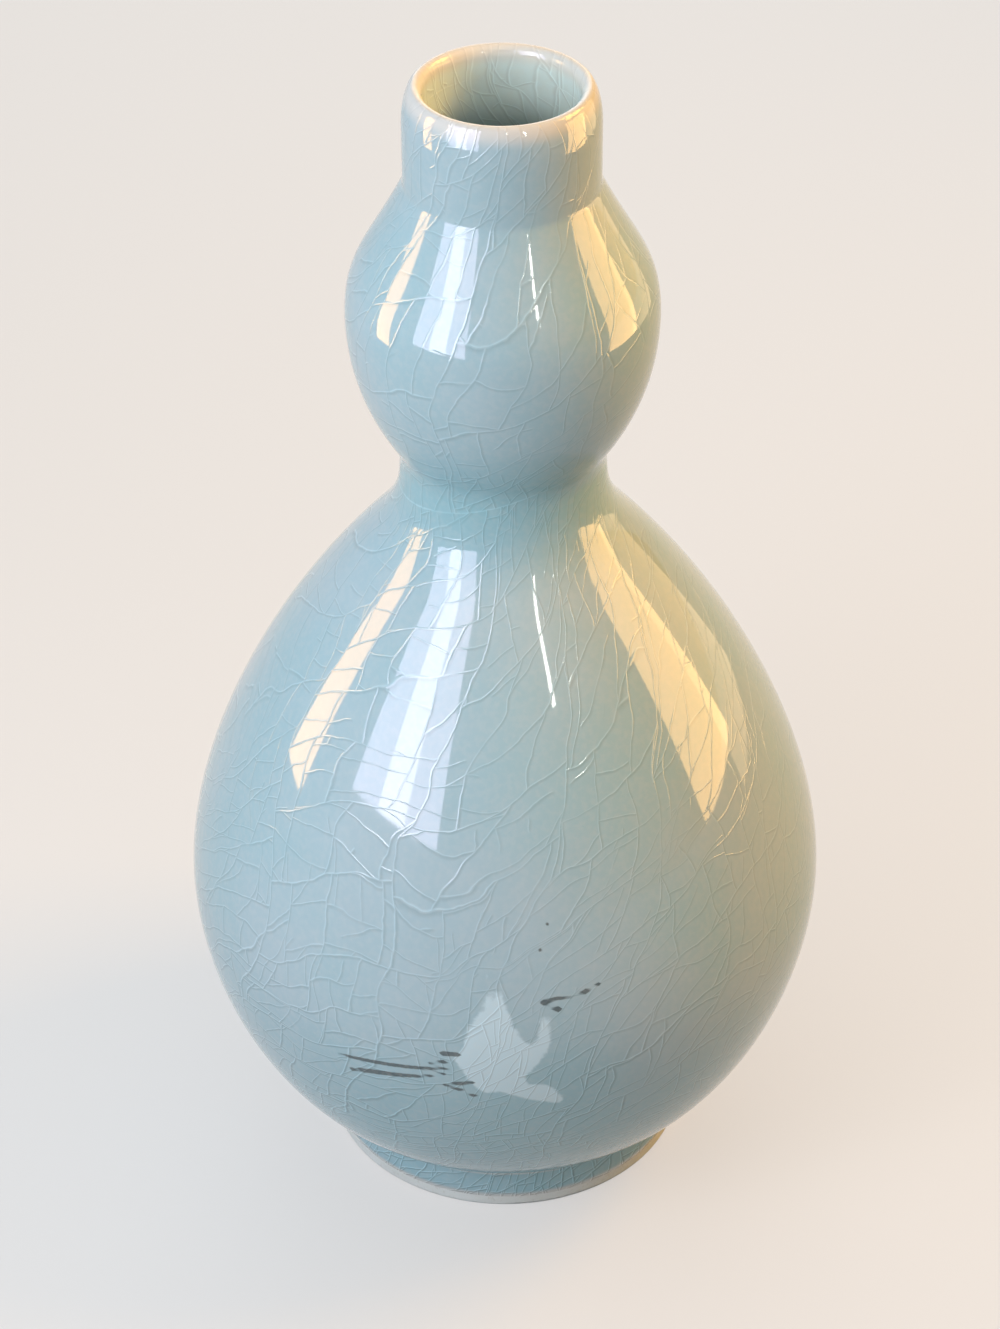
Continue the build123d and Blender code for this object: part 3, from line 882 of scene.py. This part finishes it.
@dataclass(frozen=True)
class FiredClay:
    """Bare fired clay or slip with a fine sandy grain."""

    name: str
    colour: Colour
    speck: Colour
    grain: Lumps = (0.6 * MM, 4.0)
    roughness: float = 0.75
    cloud_lumps: Lumps = (14 * MM, 2.0)
    clouds: Fade = Fade(0.3, 0.7, 0.0, 0.35)
    sand: Fade = Fade(0.56, 0.72, 0.0, 0.55)
    rough: Fade = Fade(0.3, 0.7, -0.08, 0.12)
    grain_height: float = 0.06 * MM

    def material(self) -> bpy.types.Material:
        """Write the clay's material.

        Returns:
            The material.
        """
        graph = Graph(bpy.data.materials.new(self.name))
        where = graph.place()
        sand = graph.noise(where, self.grain)
        cloud = graph.noise(where, self.cloud_lumps)
        colour = graph.blend(graph.fade(cloud, self.clouds), self.colour, self.speck)
        colour = graph.blend(graph.fade(sand, self.sand), colour, self.speck)
        rough = graph.math("ADD", graph.fade(sand, self.rough), self.roughness)
        normal = graph.bump(sand, self.grain_height)
        return graph.surface({"Base Color": colour, "Roughness": rough, "Normal": normal})


def deselect() -> None:
    """Deselect every object."""
    bpy.ops.object.select_all(action="DESELECT")


@dataclass(frozen=True)
class Sector:
    """A part of a full turn that a profile is spun through."""

    angle: float
    steps: int


def draw_profile(name: str, stretches: list[tuple[Bezier, float]], angle: float) -> bpy.types.Object:
    """Draw a closed upright profile as a chain of Bezier stretches and make it a mesh.

    Args:
        name: name of the piece.
        stretches: each stretch, with the distance between its rings in metres.
        angle: where the profile stands round the axis, from +X, in radians.

    Returns:
        A mesh of edges.
    """
    deselect()
    bpy.ops.curve.primitive_bezier_curve_add(radius=MM)
    piece = bpy.context.object
    piece.name = name
    piece.data.dimensions = "3D"
    piece.data.splines.clear()
    for curve, pitch in stretches:
        line = piece.data.splines.new("BEZIER")
        line.bezier_points.add(1)
        line.resolution_u = max(1, min(MOST_STEPS, round(run_length(curve) / pitch)))
        a, b, c, d = (
            Vector((radius * math.cos(angle), radius * math.sin(angle), height)) for radius, height in curve
        )
        for knot, left, spot, right in zip(line.bezier_points, (a, c), (a, d), (b, d)):
            knot.handle_left_type = "FREE"
            knot.handle_right_type = "FREE"
            knot.co = spot
            knot.handle_left = left
            knot.handle_right = right
    piece.location = (0.0, 0.0, 0.0)
    bpy.ops.object.convert(target="MESH")
    return bpy.context.object


def spin_profile(sectors: list[Sector]) -> None:
    """Spin the profile that was just drawn round the axis, sector by sector, and close it.

    Args:
        sectors: the sectors of the turn, which add up to a full turn.
    """
    bpy.ops.object.mode_set(mode="EDIT")
    bpy.ops.mesh.select_mode(type="VERT")
    bpy.ops.mesh.select_all(action="SELECT")
    bpy.ops.mesh.remove_doubles(threshold=MERGE)
    bpy.ops.mesh.select_all(action="SELECT")
    for sector in sectors:
        bpy.ops.mesh.spin(
            steps=sector.steps, angle=sector.angle, center=(0.0, 0.0, 0.0), axis=(0.0, 0.0, 1.0)
        )
    bpy.ops.mesh.select_all(action="SELECT")
    bpy.ops.mesh.remove_doubles(threshold=MERGE)
    bpy.ops.mesh.select_all(action="SELECT")
    bpy.ops.mesh.normals_make_consistent(inside=False)
    bpy.ops.object.mode_set(mode="OBJECT")
    bpy.ops.object.shade_smooth_by_angle(angle=math.radians(SHARPEST))


@dataclass
class InlaidCrane:
    """The crane of white and black slip in the front of the lower bulb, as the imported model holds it."""

    white: tuple[str, ...] = ("crane_body_inlay", "plume_inlay")
    black: tuple[str, ...] = (
        "upper_leg_inlay",
        "lower_leg_inlay",
        "upper_tail_feather_inlay",
        "middle_tail_feather_inlay",
        "lower_tail_feather_inlay",
        "under_tail_feather_inlay",
        "last_tail_feather_inlay",
        "crown_inlay",
        "cheek_inlay",
        "beak_inlay",
    )
    margin: float = 1.2 * MM

    def window(self) -> tuple[Vector, Vector]:
        """The space that the whole crane takes.

        Returns:
            Its lowest and its highest corner.
        """
        boxes = [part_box(name) for name in self.white + self.black]
        lows = [min(low[axis] for low, _ in boxes) - self.margin for axis in range(3)]
        highs = [max(high[axis] for _, high in boxes) + self.margin for axis in range(3)]
        return Vector(lows), Vector(highs)

    def turn(self) -> tuple[float, float]:
        """First and last angle of the crane round the axis, from +X, in radians."""
        low, high = self.window()
        return math.atan2(high.y, low.x), math.atan2(high.y, high.x)

    @staticmethod
    def walls(name: str) -> np.ndarray:
        """The side walls of an inlay, seen from the front.

        Args:
            name: the inlay's node.

        Returns:
            Lines in the XZ plane, one row of four numbers for each edge.
        """
        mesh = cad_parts[name].data
        mesh.calc_loop_triangles()
        lines = []
        for triangle in mesh.loop_triangles:
            if abs(triangle.normal.y) > SIDEWAYS:
                continue
            corners = [mesh.vertices[index].co for index in triangle.vertices]
            lines += [(p.x, p.z, q.x, q.z) for p, q in zip(corners, corners[1:] + corners[:1])]
        return np.array(lines)

    @staticmethod
    def cover(name: str, points: np.ndarray) -> np.ndarray:
        """Whether each point lies in front of an inlay.

        Args:
            name: the inlay's node.
            points: points of the XZ plane.

        Returns:
            True or false for each point.
        """
        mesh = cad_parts[name].data
        mesh.calc_loop_triangles()
        inside = np.zeros(len(points), bool)
        for triangle in mesh.loop_triangles:
            if triangle.normal.y > -SIDEWAYS:
                continue
            a, b, c = (np.array((mesh.vertices[i].co.x, mesh.vertices[i].co.z)) for i in triangle.vertices)
            signs = [
                (q[0] - p[0]) * (points[:, 1] - p[1]) - (q[1] - p[1]) * (points[:, 0] - p[0])
                for p, q in ((a, b), (b, c), (c, a))
            ]
            inside |= (np.minimum.reduce(signs) >= 0) | (np.maximum.reduce(signs) <= 0)
        return inside

    def distance(self, name: str, points: np.ndarray) -> np.ndarray:
        """Distance of each point to the edge of an inlay.

        Args:
            name: the inlay's node.
            points: points of the XZ plane.

        Returns:
            The distances, negative in front of the inlay and none above the margin.
        """
        nearest = np.full(len(points), self.margin)
        for x1, z1, x2, z2 in self.walls(name):
            step = np.array((x2 - x1, z2 - z1))
            square = max(float(step @ step), LEAST_SQUARE)
            share = np.clip(((points - (x1, z1)) @ step) / square, 0, 1)
            nearest = np.minimum(nearest, np.hypot(*(points - (x1, z1) - share[:, None] * step).T))
        return np.where(self.cover(name, points), -nearest, nearest)

    def mark(self, piece: bpy.types.Object) -> None:
        """Write the distance to the nearest edge of each slip on the points of the glaze.

        Args:
            piece: the outer coat.
        """
        low, high = self.window()
        places = np.zeros(len(piece.data.vertices) * 3)
        piece.data.vertices.foreach_get("co", places)
        places = places.reshape(-1, 3)
        near = (places[:, 1] < 0) & (places[:, 0] > low.x) & (places[:, 0] < high.x)
        near &= (places[:, 2] > low.z) & (places[:, 2] < high.z)
        index = np.nonzero(near)[0]
        points = places[index][:, (0, 2)]
        for slip, names in ((Slip.WHITE, self.white), (Slip.BLACK, self.black)):
            values = np.full(len(places), self.margin)
            for name in names:
                values[index] = np.minimum(values[index], self.distance(name, points))
            attribute = piece.data.attributes.new(slip.value, "FLOAT", "POINT")
            attribute.data.foreach_set("value", values.astype(np.float32))


@dataclass
class GlazeCoats:
    """The three coats of glaze: outside, inside and in the recess of the foot."""

    outline: Outline
    crane: InlaidCrane
    finish: Celadon = field(default_factory=Celadon)
    crackle: Crackle = field(default_factory=Crackle)
    thickness: float = 0.45 * MM
    film: float = 0.40 * MM
    polish: float = 0.02 * MM
    overlap: float = 5.0 * MM
    bare_rim: float = 2.0 * MM
    taper: float = 1.2 * MM
    recess_corner: float = 0.8 * MM
    fine_pitch: float = 0.25 * MM
    lip_pitch: float = 0.35 * MM
    lip_back_pitch: float = 1.05 * MM
    pitch: float = 2.0 * MM
    back_pitch: float = 5.0 * MM
    turn_step: float = math.radians(2.5)

    def outer(self) -> bpy.types.Object:
        """Make the outer coat, from above the bare rim over the lip to the inside of the mouth.

        Returns:
            The coat, which holds the distances to the crane's edges.
        """
        o = self.outline
        low, high = self.crane.window()
        body = o.body(Side.OUTER, self.polish)
        below, picture_low = split(body[0], share_at_height(body[0], low.z))
        picture_high, above = split(body[1], share_at_height(body[1], high.z))
        *bulbs, collar_foot = body[2:]
        face_height = self.bare_rim + self.taper
        rim = (o.foot_radius(self.bare_rim, self.thickness), self.bare_rim)
        face = (o.foot_radius(face_height, self.thickness) + self.thickness, face_height)
        crease = o.foot_crease(self.polish)
        lip = o.lip(self.polish)
        mouth_end = (o.mouth_radius + self.polish, o.vase_height - self.overlap)
        back_end = (o.mouth_radius + self.film, mouth_end[1])
        seat_radius = o.foot_radius(o.seat_height, self.thickness) + self.thickness
        back_seat = (seat_radius - self.film, o.seat_height)
        front = [
            (straight(rim, face), self.lip_pitch),
            (straight(face, crease[0]), self.pitch / 2),
            (crease, self.lip_pitch),
            (below, self.pitch),
            (picture_low, self.fine_pitch),
            (picture_high, self.fine_pitch),
            (above, self.pitch),
            *[(curve, self.pitch) for curve in bulbs],
            (collar_foot, self.lip_pitch),
            (o.neck(self.polish), self.pitch),
            *[(curve, self.lip_pitch) for curve in lip],
            (straight(lip[-1][3], mouth_end), self.pitch),
        ]
        back = [
            (straight(mouth_end, back_end), self.pitch),
            (straight(back_end, o.lip_inner.spot(Side.OUTER, self.film)), self.pitch),
            *[(curve, self.lip_back_pitch) for curve in o.lip(self.film)],
            (o.neck(self.film), self.back_pitch),
            *[(curve, self.back_pitch) for curve in o.body(Side.OUTER, self.film)],
            (o.foot_crease(self.film), self.pitch),
            (straight(o.foot_neck.spot(Side.OUTER, self.film), back_seat), self.pitch),
            (straight(back_seat, rim), self.back_pitch),
        ]
        first, last = self.crane.turn()
        picture = Sector(last - first, round((last - first) * o.belly_radius / self.fine_pitch))
        piece = draw_profile("outer_glaze_coat", front + back, first)
        spin_profile([picture, self.coarse(math.tau - picture.angle)])
        self.crane.mark(piece)
        return piece

    def inner(self) -> bpy.types.Object:
        """Make the inner coat, over the floor and the walls up to the end of the outer coat.

        Returns:
            The coat.
        """
        o = self.outline
        end = (o.mouth_radius, o.vase_height - self.overlap)
        back_end = (end[0] + self.film, end[1])
        front = [
            (o.floor(0.0), self.pitch),
            *[(curve, self.pitch) for curve in o.body(Side.INNER, 0.0)],
            (straight(o.upper_rim.spot(Side.INNER, 0.0), end), self.pitch),
        ]
        back = [
            (straight(end, back_end), self.pitch),
            (straight(back_end, o.upper_rim.spot(Side.INNER, -self.film)), self.pitch),
            *[(curve, self.back_pitch) for curve in o.body(Side.INNER, -self.film)],
            (o.floor(-self.film), self.back_pitch),
        ]
        piece = draw_profile("inner_glaze_coat", front + back, 0.0)
        spin_profile([self.coarse(math.tau)])
        return piece

    def base(self) -> bpy.types.Object:
        """Make the coat that lines the recess inside the foot ring.

        Returns:
            The coat.
        """
        wall = self.outline.recess_radius
        side = wall - self.thickness
        face = self.outline.recess_height - self.thickness
        back = face + self.film
        corner = self.recess_corner
        bend = (
            (side, face - corner),
            (side, face - corner / 2),
            (side - corner / 2, face),
            (side - corner, face),
        )
        low = (side, self.bare_rim + self.taper)
        stretches = [
            (straight((wall, self.bare_rim), low), self.lip_pitch),
            (straight(low, bend[0]), self.pitch),
            (bend, self.lip_pitch / 2),
            (straight(bend[3], (0.0, face)), self.pitch),
            (straight((0.0, back), (wall, back)), self.back_pitch),
            (straight((wall, back), (wall, self.bare_rim)), self.back_pitch),
        ]
        piece = draw_profile("base_glaze_coat", stretches, 0.0)
        spin_profile([self.coarse(math.tau)])
        return piece

    def coarse(self, angle: float) -> Sector:
        """A sector of that angle in the usual steps."""
        return Sector(angle, round(angle / self.turn_step))

    def build(self) -> None:
        """Make, dress and place the three coats."""
        coats = [
            (self.outer(), "outer_glaze", Lay.ROUND, True),
            (self.inner(), "inner_glaze", Lay.ROUND, False),
            (self.base(), "base_glaze", Lay.FLAT, False),
        ]
        for piece, node, lay, inlaid in coats:
            piece.data.materials.clear()
            piece.data.materials.append(self.finish.material(self.outline, self.crackle, lay, inlaid))
            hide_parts(node)
            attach(piece, BODY)
            LOG.info("%s: %d faces", piece.name, len(piece.data.polygons))


@dataclass
class ClayBody:
    """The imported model's own pieces under the glaze: thrown clay, seams of slip and the inlay."""

    crane: InlaidCrane
    clay_nodes: tuple[str, ...] = ("foot_ring", "lower_lobe", "upper_lobe", "neck_collar")
    slip_nodes: tuple[str, ...] = ("foot_luting_slip", "waist_luting_slip", "neck_luting_slip")
    clay: FiredClay = FiredClay("stoneware", (0.70, 0.73, 0.73), (0.56, 0.56, 0.53))
    slip: FiredClay = FiredClay("luting_slip", (0.44, 0.41, 0.37), (0.33, 0.29, 0.25), (0.35 * MM, 4.0))
    white: FiredClay = FiredClay("white_slip", (0.70, 0.71, 0.69), (0.62, 0.61, 0.57), (0.3 * MM, 4.0), 0.6)
    black: FiredClay = FiredClay("black_slip", (0.05, 0.055, 0.06), (0.11, 0.09, 0.08), (0.3 * MM, 4.0), 0.6)

    def build(self) -> None:
        """Dress each piece in its own clay or slip."""
        for finish, names in (
            (self.clay, self.clay_nodes),
            (self.slip, self.slip_nodes),
            (self.white, self.crane.white),
            (self.black, self.crane.black),
        ):
            material = finish.material()
            for name in names:
                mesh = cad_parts[name].data
                mesh.materials.clear()
                mesh.materials.append(material)
                LOG.info("%s in %s", name, finish.name)


@dataclass(frozen=True)
class Softbox:
    """An upright soft lamp that faces the vase: where it stands, its size, and how bright its face is."""

    name: str
    turn: float
    distance: float
    low: float
    high: float
    width: float
    colour: Colour
    radiance: float
    gleam_only: bool = False

    def build(self) -> None:
        """Hang the lamp."""
        turn = math.radians(self.turn)
        away = Vector((math.sin(turn), -math.cos(turn), 0.0))
        data = bpy.data.lights.new(self.name, "AREA")
        data.shape = "RECTANGLE"
        data.size = self.width
        data.size_y = self.high - self.low
        data.color = self.colour
        data.energy = self.radiance * math.pi * data.size * data.size_y
        lamp = bpy.data.objects.new(self.name, data)
        bpy.context.scene.collection.objects.link(lamp)
        lamp.location = self.distance * away + Vector((0.0, 0.0, (self.low + self.high) / 2))
        lamp.rotation_euler = away.to_track_quat("Z", "Y").to_euler()
        lamp.visible_camera = False
        lamp.visible_diffuse = not self.gleam_only


@dataclass
class Studio:
    """A pale floor, soft lamps and the camera."""

    camera_place: Point3 = (-0.00069, -0.503, 0.464)
    camera_pitch: float = 36.38
    camera_roll: float = -0.29
    focal_pixels: float = 3800.0
    photo_height: float = 1329.0
    sensor: float = 36.0
    floor_size: float = 6.0
    floor_roughness: float = 0.9
    floor_colour: Colour = (0.30, 0.30, 0.30)
    floor_glow: Colour = (0.46, 0.46, 0.465)
    floor_bounce: Colour = (0.15, 0.19, 0.23)
    no_glow: Colour = (0.0, 0.0, 0.0)
    sky: Colour = (0.64, 0.725, 0.77)
    lamplit_sky: Colour = (0.42, 0.255, 0.09)
    lamplit_side: Fade = Fade(-0.1, 0.8)
    backdrop: Colour = (0.68, 0.68, 0.675)
    lamps: tuple[Softbox, ...] = (
        Softbox("window_softbox", -44, 0.30, 0.143, 0.345, 0.205, (0.85, 0.82, 0.84), 3.6),
        Softbox("window_pane", -44, 0.298, 0.143, 0.345, 0.204, (0.70, 0.62, 1.0), 4.4, True),
        Softbox("window_band", -44.2, 0.29, 0.143, 0.345, 0.060, (1.0, 0.96, 0.94), 6.0),
        Softbox("window_top", -44, 0.298, 0.345, 0.440, 0.205, (0.83, 0.77, 1.0), 7.4, True),
        Softbox("window_band_top", -44.2, 0.29, 0.345, 0.440, 0.060, (1.0, 0.96, 0.94), 6.0, True),
        Softbox("warm_panel", 90, 0.26, 0.078, 0.260, 0.130, (1.0, 0.56, 0.20), 9.8, True),
        Softbox("warm_wall", 115, 0.40, 0.030, 0.350, 0.200, (1.0, 0.66, 0.34), 2.4, True),
        Softbox("left_strip", -88.5, 0.26, 0.088, 0.300, 0.057, (1.0, 0.52, 0.16), 12.0, True),
        Softbox("spark_strip", 27, 0.35, 0.302, 0.450, 0.011, (1.0, 0.98, 0.92), 38.0, True),
        Softbox("warm_lamp", 102, 0.50, 0.40, 0.72, 0.300, (1.0, 0.52, 0.10), 17.0),
        Softbox("back_fill", 180, 0.70, 0.20, 0.60, 0.500, (1.0, 0.97, 0.93), 1.8),
    )

    def floor(self) -> None:
        """Lay a wide pale floor, which looks pale and bounces little light."""
        deselect()
        bpy.ops.mesh.primitive_plane_add(size=self.floor_size, location=(0.0, 0.0, 0.0))
        floor = bpy.context.object
        floor.name = "studio_floor"
        graph = Graph(bpy.data.materials.new("studio_floor"))
        rays = graph.add("ShaderNodeLightPath", {}).outputs
        seen = graph.math("MAXIMUM", rays["Is Camera Ray"], rays["Is Glossy Ray"])
        seen = graph.math("MAXIMUM", seen, rays["Is Transmission Ray"])
        sockets = {
            "Base Color": graph.blend(seen, self.floor_bounce, self.floor_colour),
            "Roughness": self.floor_roughness,
            "Emission Color": graph.blend(seen, self.no_glow, self.floor_glow),
            "Emission Strength": 1.0,
        }
        floor.data.materials.append(graph.surface(sockets))

    def world(self) -> None:
        """Light a pale soft sky, with a little warm lamplight from the right."""
        world = bpy.data.worlds.new("studio_sky")
        bpy.context.scene.world = world
        graph = Graph(world)
        to_right = graph.parts(graph.add("ShaderNodeTexCoord", {}).outputs["Generated"])[0]
        light = graph.blend(graph.fade(to_right, self.lamplit_side), self.sky, self.lamplit_sky)
        seen = graph.add("ShaderNodeLightPath", {}).outputs["Is Camera Ray"]
        sockets = {"Color": graph.blend(seen, light, self.backdrop), "Strength": 1.0}
        background = graph.add("ShaderNodeBackground", sockets)
        graph.add("ShaderNodeOutputWorld", {"Surface": background.outputs["Background"]})

    def camera(self) -> None:
        """Set up the camera, where the photograph was taken from."""
        pitch = math.radians(self.camera_pitch)
        roll = math.radians(self.camera_roll)
        forward = Vector((0.0, math.cos(pitch), -math.sin(pitch)))
        right = Vector((1.0, 0.0, 0.0))
        up = Vector((0.0, math.sin(pitch), math.cos(pitch)))
        across = math.cos(roll) * right + math.sin(roll) * up
        upright = math.cos(roll) * up - math.sin(roll) * right
        data = bpy.data.cameras.new("camera")
        data.sensor_fit = "VERTICAL"
        data.sensor_height = self.sensor
        data.lens = self.sensor * self.focal_pixels / self.photo_height
        camera = bpy.data.objects.new("camera", data)
        bpy.context.scene.collection.objects.link(camera)
        turn = Matrix((across, upright, -forward)).transposed()
        camera.matrix_world = Matrix.Translation(Vector(self.camera_place)) @ turn.to_4x4()
        bpy.context.scene.camera = camera

    def build(self) -> None:
        """Set up the whole studio."""
        self.floor()
        self.world()
        for lamp in self.lamps:
            lamp.build()
        self.camera()
        bpy.context.scene.view_settings.view_transform = "Standard"


def main() -> None:
    """Dress the vase, piece by piece, and set up the studio."""
    logging.basicConfig(level=logging.INFO, format="%(name)s: %(message)s")
    outline = Outline()
    crane = InlaidCrane()
    GlazeCoats(outline, crane).build()
    ClayBody(crane).build()
    Studio().build()


if __name__ == "__main__":
    main()
